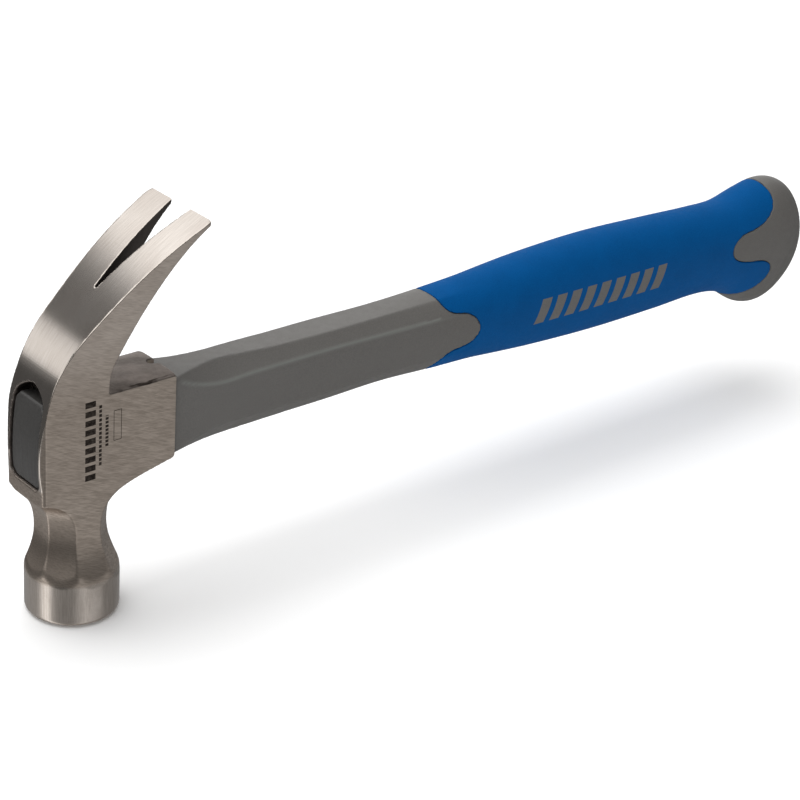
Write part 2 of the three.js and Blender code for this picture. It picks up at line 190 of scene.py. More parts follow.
def larger(a, b, blend):
    """The larger of two fields, with the corner between them rounded over a blend width."""
    overlap = np.maximum(blend - np.abs(a - b), 0)
    return np.maximum(a, b) + overlap * overlap / (4 * blend)


def smaller(a, b, blend):
    return -larger(-a, -b, blend)


def step_up(value, low, high):
    share = np.clip((value - low) / (high - low), 0, 1)
    return share * share * (3 - 2 * share)


# ---- sections along X -----------------------------------------------------------------------

class Sections:
    """A loft through a table of sections, as a field."""

    def __init__(self, table):
        places = table[:, 0]
        slopes = np.empty_like(table)
        for i in range(len(table)):
            before, after = max(0, i - 1), min(len(table) - 1, i + 1)
            slopes[i] = (table[after] - table[before]) / (places[after] - places[before])
        self.x = np.linspace(places[0], places[-1], 3000)
        row = np.clip(np.searchsorted(places, self.x, side="right") - 1, 0, len(table) - 2)
        span = (places[row + 1] - places[row])[:, None]
        t = (self.x[:, None] - places[row][:, None]) / span
        self.values = ((2 * t ** 3 - 3 * t ** 2 + 1) * table[row]
                       + (t ** 3 - 2 * t ** 2 + t) * span * slopes[row]
                       + (3 * t ** 2 - 2 * t ** 3) * table[row + 1]
                       + (t ** 3 - t ** 2) * span * slopes[row + 1])
        self.values[:, 5] = np.clip(self.values[:, 5], 0, 1)

    def at(self, x):
        return [np.interp(x, self.x, self.values[:, i]) for i in range(1, 6)]

    def __call__(self, x, y, z, margin=0.0, corner=0.025):
        half, low, high, bevel, roundness = self.at(x)
        half = half - margin
        depth = (high - low) / 2 - margin
        across = np.abs(y)
        up = np.abs(z - (high + low) / 2)
        cut = np.maximum(0.4, bevel - 0.6 * margin)
        side, flat = cut * BEVEL_SIDE, cut * BEVEL_TOP
        slant = (across * side + up * flat) / (half * side + depth * flat - side * flat)
        box = larger(larger(across / half, up / depth, corner), slant, corner)
        oval = np.maximum(np.hypot(across / half, up / depth), 1e-4)
        away = np.hypot(across, up)
        return away * (1 - (1 - roundness) / box - roundness / oval)


# ---- meshes from fields ---------------------------------------------------------------------

CORNERS = [(i, j, k) for i in (0, 1) for j in (0, 1) for k in (0, 1)]
CUBE_EDGES = [(a, b) for a in range(8) for b in range(a + 1, 8)
              if sum(p != q for p, q in zip(CORNERS[a], CORNERS[b])) == 1]

LEAVING_ORDER = ((0, 0), (1, 0), (1, 1), (0, 1))
ENTERING_ORDER = ((0, 0), (0, 1), (1, 1), (1, 0))


def net(field, low, high, step):
    """A closed quad mesh over the zero level of a field, one vertex in each cell that it crosses."""
    axes = [np.arange(a - 1.5 * step, b + 2.5 * step, step) for a, b in zip(low, high)]
    x, y, z = np.meshgrid(*axes, indexing="ij", sparse=True)
    values = np.broadcast_to(field(x, y, z), [len(a) for a in axes])
    inside = values < 0
    cells = [n - 1 for n in values.shape]
    total = sum(inside[i:i + cells[0], j:j + cells[1], k:k + cells[2]].astype(np.int8)
                for i, j, k in CORNERS)
    mixed = (total > 0) & (total < 8)
    ids = np.full(cells, -1)
    ids[mixed] = np.arange(mixed.sum())
    at = np.argwhere(mixed)
    held = np.stack([values[at[:, 0] + i, at[:, 1] + j, at[:, 2] + k] for i, j, k in CORNERS], axis=1)
    places = np.zeros((len(at), 3))
    count = np.zeros(len(at))
    for a, b in CUBE_EDGES:
        crossed = (held[:, a] < 0) != (held[:, b] < 0)
        share = held[crossed, a] / (held[crossed, a] - held[crossed, b])
        start, end = np.array(CORNERS[a], float), np.array(CORNERS[b], float)
        places[crossed] += start + share[:, None] * (end - start)
        count[crossed] += 1
    origin = np.array([a[0] for a in axes])
    points = origin + (at + places / count[:, None]) * step
    quads = []
    for axis in range(3):
        first, second = (axis + 1) % 3, (axis + 2) % 3
        ahead = np.moveaxis(inside, (axis, first, second), (0, 1, 2))
        cell = np.moveaxis(ids, (axis, first, second), (0, 1, 2))
        leaving = ahead[:-1, 1:-1, 1:-1] & ~ahead[1:, 1:-1, 1:-1]
        entering = ~ahead[:-1, 1:-1, 1:-1] & ahead[1:, 1:-1, 1:-1]
        for change, order in ((leaving, LEAVING_ORDER), (entering, ENTERING_ORDER)):
            i, j, k = np.nonzero(change)
            quads.append(np.stack([cell[i, j + a, k + b] for a, b in order], axis=1))
    return points, np.concatenate(quads)


def slope_of(field, points, reach=0.08):
    slope = np.empty_like(points)
    for axis in range(3):
        nudge = np.zeros(3)
        nudge[axis] = reach
        slope[:, axis] = (field(*(points + nudge).T) - field(*(points - nudge).T)) / (2 * reach)
    return slope


def settle(field, points, quads, step, rounds=4):
    """Evens the net out along the surface and lays it exactly on the field's zero level."""
    ends = np.concatenate([quads[:, [0, 1]], quads[:, [1, 2]], quads[:, [2, 3]], quads[:, [3, 0]]])
    count = np.bincount(ends[:, 0], minlength=len(points)) + np.bincount(ends[:, 1], minlength=len(points))
    for turn in range(rounds):
        if turn:
            mean = np.stack([np.bincount(ends[:, 0], points[ends[:, 1], i], len(points))
                             + np.bincount(ends[:, 1], points[ends[:, 0], i], len(points))
                             for i in range(3)], axis=1)
            points = points + 0.5 * (mean / count[:, None] - points)
        for _ in range(2):
            slope = slope_of(field, points)
            size = np.maximum((slope ** 2).sum(1), 0.02)
            move = np.clip(field(*points.T) / size, -step, step)[:, None] * slope
            points = points - move
    slope = slope_of(field, points, 0.12)
    return points, slope / np.maximum(np.linalg.norm(slope, axis=1), 1e-9)[:, None]


def piece(name, field, low, high, step, marks=None):
    """A named mesh object in metres, from a field in millimetres. marks gives extra vertex values."""
    points, quads = net(field, low, high, step)
    points, normals = settle(field, points, quads, step)
    mesh = bpy.data.meshes.new(name)
    mesh.from_pydata((points * MM).tolist(), [], quads.tolist())
    mesh.validate()
    mesh.polygons.foreach_set("use_smooth", np.ones(len(mesh.polygons), bool))
    for key, value in (marks(points, normals) if marks else {}).items():
        attribute = mesh.attributes.new(key, "FLOAT", "POINT")
        attribute.data.foreach_set("value", np.asarray(value, np.float32))
    mesh.update()
    mesh.normals_split_custom_set_from_vertices(normals.tolist())
    made = bpy.data.objects.new(name, mesh)
    bpy.context.scene.collection.objects.link(made)
    return made


# ---- steel head -----------------------------------------------------------------------------

def side_outline():
    under = (CLAW_TIP[0] - 0.4, CLAW_TIP[1] - CLAW_TIP_THICKNESS)
    bulge = OUTER_FACE_X - OUTER_BULGE
    points = [(OUTER_FACE_X, 30), (OUTER_FACE_X, 45)]
    points += smooth_through([(OUTER_FACE_X, 45), (bulge, 51), (bulge, 58), (-15.3, 66), (-12.7, 76),
                              (-6.9, 86.5), (1.1, 94.8), (10.2, 102.8), (22.6, 112), CLAW_TIP])
    points += [under]
    points += bezier(under, (26.6, 111.2), (18.4, 100.2), (7.6, 80), count=40)
    points += bezier((7.6, 80), (6.4, 77.6), (6.2, 72), count=12)
    points += [(6.2, 30)]
    return Outline(points)


def facet_profile(is_cheek_side, is_collar_side):
    """A neck facet's distance from the neck's axis at each height, and its slope."""
    waist = CHEEK if is_cheek_side else NECK_WAIST
    start = (POLL_RADIUS + 0.8, SCALLOP_Z - 1.5)
    middle = (waist, NECK_WAIST_Z)
    points = [(start[0] + 30, start[1] - 12), start]
    points += bezier(start, (POLL_RADIUS - 1, 16.4), (waist + 0.3, 20.8), middle)
    if is_cheek_side:
        points += [(waist, 46), (waist + 30, 46.5)]
    elif is_collar_side:
        points += bezier(middle, (waist, 33), (waist + 1.2, 36), (16, 39.4))
        points += bezier((16, 39.4), (20, 41), (40, 44.4))
    else:
        points += bezier(middle, (waist - 0.2, 33), (waist + 0.8, 37), (14.3, 39.8))
        points += bezier((14.3, 39.8), (17.4, 41.9), (21, 43), (40, 48.4))
    points = np.array(points)
    heights = np.linspace(0, 60, 1201)
    radii = np.interp(heights, points[:, 1], points[:, 0])
    radii[heights > points[-1, 1]] = points[-1, 0] + 20 * (heights[heights > points[-1, 1]] - points[-1, 1])
    slopes = np.gradient(radii, heights)
    smooth = np.hanning(15) / np.hanning(15).sum()
    return heights, radii, np.convolve(np.hypot(1, slopes), smooth, mode="same")


def front_profile():
    """Half the width of the head at each height."""
    top = CLAW_TIP[1] + 0.3
    shoulder = (CLAW_HALF_WIDTH, top - CLAW_CORNER_RISE)
    points = [(-20, 0), (CHEEK, 0), (CHEEK, CLAW_FLARE_Z)]
    points += bezier((CHEEK, CLAW_FLARE_Z), (CHEEK + 1, 93), shoulder, count=40)
    points += bezier(shoulder, (CLAW_HALF_WIDTH + 0.2, top), (CLAW_HALF_WIDTH - CLAW_CORNER, top), count=40)
    return Outline(points + [(-20, top)])


def collar_crown():
    """The height of the collar's crown, against the distance from the middle."""
    curve = bezier((0, COLLAR_CROWN_Z), (6.4, COLLAR_CROWN_Z), (CHEEK - 1.2, COLLAR_CROWN_Z - 0.9),
                   (CHEEK, COLLAR_SHOULDER_Z))
    return np.array([(0, COLLAR_CROWN_Z)] + curve + [(CHEEK + 6, COLLAR_SHOULDER_Z - 4)]).T


def eye_arch():
    half, rise = EYE[0, 1] - 0.2, ARCH_TOP_Z - ARCH_SHOULDER_Z
    points = [(-10, 66), (half, 66), (half, ARCH_SHOULDER_Z)]
    points += bezier((half, ARCH_SHOULDER_Z), (half - 0.8, ARCH_SHOULDER_Z + rise / 2),
                     (half / 3, ARCH_TOP_Z), (0, ARCH_TOP_Z))
    return Outline(points + [(-10, ARCH_TOP_Z)])


def collar_side():
    low_corner = (COLLAR_END_X - 1.5, 43.9)
    top_corner = (COLLAR_END_X, 71.8)
    points = [(0, 30), (low_corner[0], 30), low_corner]
    points += bezier(low_corner, (COLLAR_END_X, 44.6), (COLLAR_END_X, 47), count=12)
    points += [top_corner]
    points += bezier(top_corner, (COLLAR_END_X - 0.4, COLLAR_CROWN_Z - 0.3), (27, COLLAR_CROWN_Z),
                     (20, COLLAR_CROWN_Z + 0.3), count=16)
    points += [(0, COLLAR_CROWN_Z + 0.3)]
    return Outline(points)


SIDE = side_outline()
FRONT = front_profile()
CROWN_ACROSS, CROWN_HEIGHT = collar_crown()
COLLAR_ALONG = collar_side()
FACETS = [facet_profile(i % 4 == 2, i == 0) for i in range(8)]
EYE_FIELD = Sections(EYE)
EYE_ARCH = eye_arch()
CLAW_RUN = np.array(CLAW_TIP) - np.array(SLOT_APEX)
CLAW_LENGTH = float(np.hypot(*CLAW_RUN))
CLAW_ALONG = CLAW_RUN / CLAW_LENGTH


def slot_place(x, z):
    """How far along the claws from the slot's apex a place is, and how far above their upper surface."""
    along = (x - SLOT_APEX[0]) * CLAW_ALONG[0] + (z - SLOT_APEX[1]) * CLAW_ALONG[1]
    above = (z - SLOT_APEX[1]) * CLAW_ALONG[0] - (x - SLOT_APEX[0]) * CLAW_ALONG[1]
    return along, above


def slot_field(x, y, z):
    """The nail slot: a round apex that opens towards the tips."""
    along, above = slot_place(x, z)
    spread = (SLOT_HALF_WIDTH - SLOT_APEX_HALF_WIDTH) / CLAW_LENGTH
    half = SLOT_APEX_HALF_WIDTH + np.maximum(along, 0) * spread - SLOT_DRAFT * above
    from_middle = np.hypot(np.minimum(along, 0), y)
    return (from_middle - half) / math.hypot(1, spread)


def eye_room(x, y, z):
    """The eye through the head, with the low arch above its mouth."""
    eye = EYE_FIELD(np.clip(x, OUTER_FACE_X, COLLAR_END_X), y, z)
    arch = np.maximum(EYE_ARCH(np.abs(y), z), x - OUTER_FACE_X - ARCH_DEPTH)
    return np.minimum(eye, arch)


def head_field(x, y, z):
    """The forged head: claws and collar from their outlines, poll and neck cut by eight facets."""
    across = np.abs(y)
    crown = 0.9 * (z - np.interp(across, CROWN_ACROSS, CROWN_HEIGHT))
    collar = larger(COLLAR_ALONG(x, z), crown, 0.8)
    edge_blend = 0.38 - 0.13 * step_up(x, 5, 10) * step_up(-z, -80, -75)
    upper = larger(smaller(SIDE(x, z), collar, 0.8), FRONT(across, z), edge_blend)
    radius = np.hypot(x, y)
    chamfer = (radius - z - (POLL_RADIUS - FACE_CHAMFER)) / math.sqrt(2)
    poll = larger(larger(radius - POLL_RADIUS, chamfer, 0.5), np.maximum(-z, z - POLL_TOP), 0.4)
    blend = 0.3 + 0.5 * step_up(z, 11, 13.5) * step_up(-z, -20, -15)
    past = []
    for i, (heights, radii, steep) in enumerate(FACETS):
        angle = i * math.pi / 4
        out = (x - NECK_X) * math.cos(angle) + y * math.sin(angle)
        beyond = (out - np.interp(z, heights, radii)) / np.interp(z, heights, steep)
        past.append(np.where(z > 60, -20, beyond))
    for i in (2, 6):
        poll = larger(poll, past[i], blend)
    head = np.minimum(upper, poll)
    for i in (0, 1, 3, 4, 5, 7):
        head = larger(head, past[i], blend)
    edge = (across - CHEEK - x + OUTER_FACE_X + CHEEK_EDGE) / math.sqrt(2)
    head = larger(head, np.where(z > 74, -20, edge), 0.3)
    head = larger(head, -slot_field(x, y, z), 0.25)
    return larger(head, -eye_room(x, y, z), 0.6)


def head_marks(points, normals):
    """Where the head is polished, and where it is left as forged."""
    x, y, z = points.T
    nx, ny, nz = normals.T
    outward = -nx * CLAW_ALONG[1] + nz * CLAW_ALONG[0]
    outer = (np.abs(SIDE(x, z)) < 0.5) & (z > 46) & (outward > 0.25)
    ring = 0.7 * step_up(-z, -14, -12.6) * (np.abs(nz) < 0.4)
    polished = np.maximum(outer * step_up(-np.abs(ny), -0.75, -0.45), ring)
    eye = eye_room(x, y, z)
    under = (nx > 0.15) & (z > 72) & (z < 117.5) & (np.abs(ny) < 0.7) & (x > 4)
    collar_top = (nz > 0.45) & (x > 6) & (z < 75)
    collar_end_face = (nx > 0.6) & (x > 27) & (z > 42)
    forged = np.clip((eye < 0.3) * 1.0 + under + collar_top + collar_end_face, 0, 1)
    return {"polished": polished, "forged": forged}


# ---- the eye's plug, the shaft and the grip -------------------------------------------------

def plug_field(x, y, z):
    eye = EYE_FIELD(np.clip(x, OUTER_FACE_X, COLLAR_END_X), y, z, margin=TOUCH_GAP)
    back = x - (OUTER_FACE_X + PLUG_RECESS + PLUG_LENGTH)
    return larger(larger(eye, SIDE(x - PLUG_RECESS, z), 0.9), back, 0.4)


def grip_outline():
    points = [(126, 90), (130, 76)]
    points += bezier((130, 76), (133, 71), (132, 65.4), (139, 64.4))
    points += bezier((139, 64.4), (149, 64), (151, 53), (138, 52.4))
    points += bezier((138, 52.4), (132, 51), (132, 47), (127, 42))
    points += [(122, 20), (270, 20), (273, 36)]
    points += bezier((273, 36), (288, 42), (293, 52), (278, 53.2))
    points += bezier((278, 53.2), (262.5, 54), (262.5, 63), (275, 64.4))
    points += bezier((275, 64.4), (293, 67), (293, 79), (280, 84))
    points += [(276, 90)]
    return Outline(points, cell=0.2)


HANDLE_FIELD = Sections(HANDLE)
GRIP = grip_outline()
BUTT_X = HANDLE[-1, 0]


def core_room(x, y, z, gap):
    half = CORE_HALF_WIDTH + gap
    straight = CORE_HALF_DEPTH - CORE_HALF_WIDTH
    return np.hypot(y, np.maximum(np.abs(z - AXIS_Z) - straight, 0)) - half


def shaft_field(x, y, z):
    """The bare shaft and butt, the thinner part under the grip and the tenon in the eye, less the core."""
    outer = HANDLE_FIELD(x, y, z, margin=0.04)
    bare = larger(outer, 0.06 - GRIP(x, z), 0.3)
    under_grip = np.maximum(HANDLE_FIELD(x, y, z, margin=SKIN + TOUCH_GAP), np.maximum(110 - x, x - 292))
    body = larger(larger(smaller(bare, under_grip, 0.2), x - BUTT_X, 2.5), HANDLE[0, 0] - x, 0.6)
    eye = EYE_FIELD(np.clip(x, OUTER_FACE_X, COLLAR_END_X), y, z, margin=TOUCH_GAP)
    tenon = np.maximum(eye, np.maximum(TENON_START_X - x, x - HANDLE[0, 0] - 0.4))
    room = np.maximum(core_room(x, y, z, TOUCH_GAP), x - CORE_END_X - TOUCH_GAP)
    return larger(np.minimum(body, tenon), -room, 0.3)


def shaft_highlight_marks(points, normals):
    """A painted highlight along the moulded crease where each upper bevel of the shaft meets the side."""
    x, y, z = points.T
    half, low, high, bevel, _ = HANDLE_FIELD.at(x)
    depth = (high - low) / 2
    up = np.abs(z - (high + low) / 2)
    low_crease = np.abs(up - depth + bevel * BEVEL_SIDE)
    on_side = (half - np.abs(y) < 1.0) & (z > AXIS_Z) & (x > 30) & (x < 140)
    return {"crease_highlight": np.exp(-(low_crease / 0.5) ** 2) * on_side * step_up(bevel, 0.8, 2)}


def grip_field(x, y, z):
    """The rubber skin, where the outline of the grip covers the handle."""
    outer = HANDLE_FIELD(x, y, z)
    skin = larger(outer, -HANDLE_FIELD(x, y, z, margin=SKIN), 0.3)
    return larger(skin, GRIP(x, z), 0.4)


# ---- materials ------------------------------------------------------------------------------

class Graph:
    """A material's node tree, with its Principled shader."""

    def __init__(self, name):
        self.material = bpy.data.materials.new(name)
        self.material.use_nodes = True
        self.tree = self.material.node_tree
        self.tree.nodes.clear()
        self.output = self.tree.nodes.new("ShaderNodeOutputMaterial")
        self.shader = self.tree.nodes.new("ShaderNodeBsdfPrincipled")
        self.tree.links.new(self.shader.outputs[0], self.output.inputs["Surface"])
        self.place = self.tree.nodes.new("ShaderNodeTexCoord").outputs["Object"]
        parts = self.tree.nodes.new("ShaderNodeSeparateXYZ")
        self.tree.links.new(self.place, parts.inputs[0])
        self.x, self.y, self.z = parts.outputs

    def feed(self, socket, value):
        if isinstance(value, bpy.types.NodeSocket):
            self.tree.links.new(value, socket)
        else:
            socket.default_value = value

    def math(self, operation, a, b=0.0, c=0.0, clamp=False):
        node = self.tree.nodes.new("ShaderNodeMath")
        node.operation = operation
        node.use_clamp = clamp
        for socket, value in zip(node.inputs, (a, b, c)):
            self.feed(socket, value)
        return node.outputs[0]

    def noise(self, scale, stretch=(1, 1, 1), turn=(0, 0, 0), detail=2.0, rough=0.5):
        mapping = self.tree.nodes.new("ShaderNodeMapping")
        mapping.vector_type = "TEXTURE"
        self.feed(mapping.inputs["Vector"], self.place)
        mapping.inputs["Rotation"].default_value = turn
        mapping.inputs["Scale"].default_value = stretch
        node = self.tree.nodes.new("ShaderNodeTexNoise")
        self.feed(node.inputs["Vector"], mapping.outputs[0])
        node.inputs["Scale"].default_value = scale
        node.inputs["Detail"].default_value = detail
        node.inputs["Roughness"].default_value = rough
        return node.outputs["Fac"]

    def attribute(self, name):
        node = self.tree.nodes.new("ShaderNodeAttribute")
        node.attribute_name = name
        return node.outputs["Fac"]

    def span(self, value, low, high, new_low, new_high):
        node = self.tree.nodes.new("ShaderNodeMapRange")
        for socket, number in zip(node.inputs, (value, low, high, new_low, new_high)):
            self.feed(socket, number)
        return node.outputs[0]

    def mix(self, share, a, b):
        node = self.tree.nodes.new("ShaderNodeMix")
        node.data_type = "FLOAT"
        self.feed(node.inputs[0], share)
        self.feed(node.inputs[2], a)
        self.feed(node.inputs[3], b)
        return node.outputs[0]

    def tint(self, share, a, b, blend="MIX"):
        node = self.tree.nodes.new("ShaderNodeMix")
        node.data_type = "RGBA"
        node.blend_type = blend
        self.feed(node.inputs[0], share)
        self.feed(node.inputs[6], a if isinstance(a, bpy.types.NodeSocket) else (*a, 1))
        self.feed(node.inputs[7], b if isinstance(b, bpy.types.NodeSocket) else (*b, 1))
        return node.outputs[2]

    def bump(self, height, distance, strength=1.0, before=None):
        node = self.tree.nodes.new("ShaderNodeBump")
        node.inputs["Strength"].default_value = strength
        node.inputs["Distance"].default_value = distance
        self.feed(node.inputs["Height"], height)
        if before is not None:
            self.feed(node.inputs["Normal"], before)
        return node.outputs[0]

    def bar(self, value, middle, half, soft=0.00008):
        """1 where a coordinate is within half of the middle, 0 outside."""
        away = self.math("ABSOLUTE", self.math("SUBTRACT", value, middle))
        return self.math("DIVIDE", self.math("SUBTRACT", half + soft, away), soft, clamp=True)

    def repeat(self, value, start, pitch):
        """A coordinate folded into one pitch, from zero to the pitch."""
        return self.math("FLOORED_MODULO", self.math("SUBTRACT", value, start), pitch)

    def both(self, *masks):
        result = masks[0]
        for mask in masks[1:]:
            result = self.math("MULTIPLY", result, mask)
        return result

    def either(self, *masks):
        result = masks[0]
        for mask in masks[1:]:
            result = self.math("MAXIMUM", result, mask)
        return result


GRIND_TURN = (0, math.radians(10), 0)
STROKE_TURN = (0, math.radians(26), 0)
FORGED_TURN = (0, 0, math.radians(-25))


def etched_marks(g):
    """Plain blocks, dashes and an empty frame on the near cheek, in place of the maker's lettering."""
    blocks = g.both(g.bar(g.x, -0.0001, 0.0017), g.bar(g.z, 0.0585, 0.0132),
                    g.bar(g.repeat(g.z, 0.0453, 0.0029), 0.00145, 0.0009))
    dashes = g.both(g.bar(g.x, 0.0032, 0.00042), g.bar(g.z, 0.0594, 0.0098),
                    g.bar(g.repeat(g.z, 0.0496, 0.0014), 0.0007, 0.00045))
    dots = g.both(g.bar(g.x, 0.0054, 0.00048), g.bar(g.z, 0.0602, 0.005),
                  g.bar(g.repeat(g.z, 0.0552, 0.0012), 0.0006, 0.00036))
    outside = g.both(g.bar(g.x, 0.0090, 0.0013), g.bar(g.z, 0.0612, 0.0048))
    inside = g.both(g.bar(g.x, 0.0090, 0.00112), g.bar(g.z, 0.0612, 0.00462))
    box = g.math("SUBTRACT", outside, inside, clamp=True)
    near = g.math("LESS_THAN", g.y, -0.0096)
    return g.both(near, g.either(blocks, dashes, dots, box))


CREASE_Z = 0.0738
CREASE_HALF = 0.00026


def collar_crease_shade(g, wander):
    """Painted shade: a dark line where the ground cheek meets the forged top of the collar, on both sides.
    """
    height = g.math("ADD", g.z, g.math("MULTIPLY", wander, 0.0036))
    on_edge = g.math("GREATER_THAN", g.math("ABSOLUTE", g.y), 0.0088)
    return g.both(on_edge, g.bar(height, CREASE_Z, CREASE_HALF, 0.0003), g.bar(g.x, 0.0185, 0.0100, 0.001))


SLOT_LIP = 0.00012


def slot_walls(g):
    """1 on the walls of the nail slot and a lip's width past them, where the forged steel is darkened
    further with painted shade.
    """
    across, up = (float(n) for n in CLAW_ALONG)
    apex_x, apex_z = SLOT_APEX[0] * MM, SLOT_APEX[1] * MM
    x, z = g.math("SUBTRACT", g.x, apex_x), g.math("SUBTRACT", g.z, apex_z)
    along = g.math("ADD", g.math("MULTIPLY", x, across), g.math("MULTIPLY", z, up))
    above = g.math("SUBTRACT", g.math("MULTIPLY", z, across), g.math("MULTIPLY", x, up))
    spread = (SLOT_HALF_WIDTH - SLOT_APEX_HALF_WIDTH) / CLAW_LENGTH
    half = g.math("ADD", g.math("MULTIPLY", along, spread), SLOT_APEX_HALF_WIDTH * MM + SLOT_LIP)
    half = g.math("SUBTRACT", half, g.math("MULTIPLY", above, SLOT_DRAFT))
    inside = g.math("LESS_THAN", g.math("ABSOLUTE", g.y), half)
    return g.both(inside, g.math("GREATER_THAN", along, -0.0004), g.math("GREATER_THAN", g.z, 0.092))


def steel():
    g = Graph("ground_forged_steel")
    polished, slot = g.attribute("polished"), slot_walls(g)
    forged = g.either(g.attribute("forged"), slot)
    grinding = g.noise(3200, (10, 3, 1), GRIND_TURN, 3, 0.6)
    strokes = g.noise(2300, (9, 3, 1), STROKE_TURN, 2, 0.5)
    lengthwise = g.noise(4200, (30, 1, 30), (0, 0, 0), 3, 0.6)
    broad = g.noise(70, detail=3)
    patch = g.noise(420, (5, 2, 1), FORGED_TURN, 4)
    scale = g.noise(900, detail=4, rough=0.65)
    ground = g.math("ADD", g.math("MULTIPLY", grinding, 0.6), g.math("MULTIPLY", strokes, 0.4))
    lines = g.mix(polished, ground, lengthwise)
    streak = g.span(lines, 0.38, 0.62, 0, 1)
    tone = g.tint(streak, (0.47, 0.40, 0.338), (0.68, 0.585, 0.505))
    # Painted highlight: the ground steel is painted lighter from the collar up towards the claws.
    painted_highlight_tone = g.tint(streak, (0.68, 0.60, 0.53), (0.84, 0.745, 0.665))
    tone = g.tint(g.span(g.z, 0.070, 0.088, 0, 0.85), tone, painted_highlight_tone)
    bright = g.tint(g.span(lengthwise, 0.3, 0.7, 0, 1), (0.60, 0.545, 0.495), (0.70, 0.645, 0.595))
    tone = g.tint(polished, tone, bright)
    tone = g.tint(g.span(broad, 0.35, 0.65, 0, 0.2), tone, (0.40, 0.33, 0.28))
    dark = g.tint(g.span(patch, 0.35, 0.65, 0, 1), (0.17, 0.147, 0.131), (0.28, 0.242, 0.218))
    tone = g.tint(forged, tone, dark)
    # Painted shade: the walls of the narrow nail slot are painted darker than the forged tone.
    tone = g.tint(slot, tone, (0.13, 0.115, 0.105))
    # Painted shade along the crease at the top of the collar.
    tone = g.tint(collar_crease_shade(g, g.noise(210, (1.6, 1, 1), detail=2)), tone, (0.060, 0.048, 0.041))
    marks = etched_marks(g)
    tone = g.tint(g.math("MULTIPLY", marks, g.span(scale, 0.3, 0.6, 0.75, 1)), tone, (0.055, 0.044, 0.038))
    g.feed(g.shader.inputs["Base Color"], tone)
    rough = g.mix(polished, g.span(lines, 0.35, 0.65, 0.42, 0.28), g.span(lengthwise, 0.3, 0.7, 0.13, 0.08))
    rough = g.mix(forged, rough, g.span(scale, 0.3, 0.7, 0.62, 0.48))
    rough = g.mix(marks, rough, 0.7)
    g.feed(g.shader.inputs["Roughness"], rough)
    g.shader.inputs["Metallic"].default_value = 1.0
    first = g.bump(g.math("MULTIPLY", lines, g.span(polished, 0, 1, 1, 0.12)), 0.00005, 0.6)
    second = g.bump(g.math("MULTIPLY", scale, forged), 0.00018, 0.8, first)
    g.feed(g.shader.inputs["Normal"], second)
    return g.material


def moulded_grey():
    g = Graph("grey_moulding")
    fine = g.noise(2600, detail=3, rough=0.6)
    flow = g.noise(60, (6, 1, 1), detail=3)
    tone = g.tint(g.span(fine, 0.3, 0.7, 0, 1), (0.090, 0.086, 0.081), (0.115, 0.110, 0.103))
    tone = g.tint(g.span(flow, 0.35, 0.7, 0, 0.3), tone, (0.122, 0.118, 0.111))
    # Painted highlight along the creases of the shaft's upper bevels.
    tone = g.tint(g.math("MULTIPLY", g.attribute("crease_highlight"), 0.8), tone, (0.165, 0.172, 0.160))
    g.feed(g.shader.inputs["Base Color"], tone)
    g.feed(g.shader.inputs["Roughness"], g.span(g.noise(400, detail=3), 0.3, 0.7, 0.42, 0.54))
    g.feed(g.shader.inputs["Normal"], g.bump(fine, 0.00003, 0.6))
    g.shader.inputs["IOR"].default_value = 1.49
    return g.material


def inlay_bars(g):
    """A row of plain slanted bars along both sides of the grip."""
    along = g.math("SUBTRACT", g.x, g.math("MULTIPLY", g.z, 0.42))
    bars = g.both(g.bar(g.repeat(along, 0.1462, 0.0068), 0.0034, 0.0021), g.bar(along, 0.1768, 0.0305),
                  g.bar(g.z, 0.0581, 0.0041))
    return bars


def soft_blue():
    g = Graph("blue_soft_grip")
    fine = g.noise(3600, detail=3, rough=0.65)
    cloud = g.noise(120, detail=3)
    tone = g.tint(g.span(fine, 0.3, 0.7, 0, 1), (0.0012, 0.052, 0.175), (0.0020, 0.070, 0.230))
    tone = g.tint(g.span(cloud, 0.35, 0.7, 0, 0.25), tone, (0.0016, 0.078, 0.26))
    bars = inlay_bars(g)
    grey = g.tint(g.span(fine, 0.3, 0.7, 0, 1), (0.105, 0.105, 0.105), (0.14, 0.138, 0.134))
    g.feed(g.shader.inputs["Base Color"], g.tint(bars, tone, grey))
    g.feed(g.shader.inputs["Roughness"], g.span(g.noise(700, detail=3), 0.3, 0.7, 0.50, 0.64))
    g.feed(g.shader.inputs["Normal"], g.bump(fine, 0.00004, 0.7))
    g.shader.inputs["Specular IOR Level"].default_value = 0.03
    return g.material


def plug_plastic():
    g = Graph("charcoal_plug")
    fine = g.noise(1900, detail=3, rough=0.6)
    drawn = g.noise(900, (1, 1, 14), detail=2)
    tone = g.tint(g.span(fine, 0.3, 0.7, 0, 1), (0.030, 0.029, 0.028), (0.046, 0.044, 0.042))
    g.feed(g.shader.inputs["Base Color"], tone)
    g.feed(g.shader.inputs["Roughness"], g.span(drawn, 0.3, 0.7, 0.32, 0.46))
    g.feed(g.shader.inputs["Normal"], g.bump(fine, 0.00003, 0.5))
    return g.material


def cured_resin():
    g = Graph("cured_resin")
    cloud = g.noise(350, detail=4)
    tone = g.tint(g.span(cloud, 0.3, 0.7, 0, 1), (0.30, 0.20, 0.07), (0.50, 0.38, 0.17))
    g.feed(g.shader.inputs["Base Color"], tone)
    g.feed(g.shader.inputs["Roughness"], g.span(cloud, 0.3, 0.7, 0.18, 0.32))
    g.feed(g.shader.inputs["Normal"], g.bump(cloud, 0.0002, 0.4))
    return g.material


